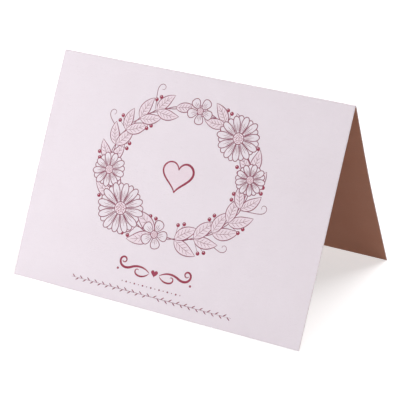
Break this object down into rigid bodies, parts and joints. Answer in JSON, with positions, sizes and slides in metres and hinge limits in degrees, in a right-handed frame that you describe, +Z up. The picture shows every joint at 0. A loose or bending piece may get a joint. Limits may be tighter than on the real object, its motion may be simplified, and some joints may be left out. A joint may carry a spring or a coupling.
{
  "type": "greeting card",
  "caption": "Greeting card of printed card stock, scored and folded along its top edge so that it stands open as a tent.",
  "frame": {"origin": "on the surface that the card stands on, midway between its two feet and midway along them", "axes": "+X along the fold, +Z up, the printed front panel faces -Y and the plain back panel faces +Y"},
  "size_m": [0.15, 0.1012, 0.0978],
  "materials": {
    "card_stock": "matte and uncoated, faintly pink white outside and warm brown on the inner faces",
    "line_ink": "matte mauve ink",
    "accent_ink": "matte crimson ink",
    "tint_ink": "matte pale blush tint"
  },
  "bodies": {
    "root": {"folded_card": "card_stock"}
  },
  "joints": []
}
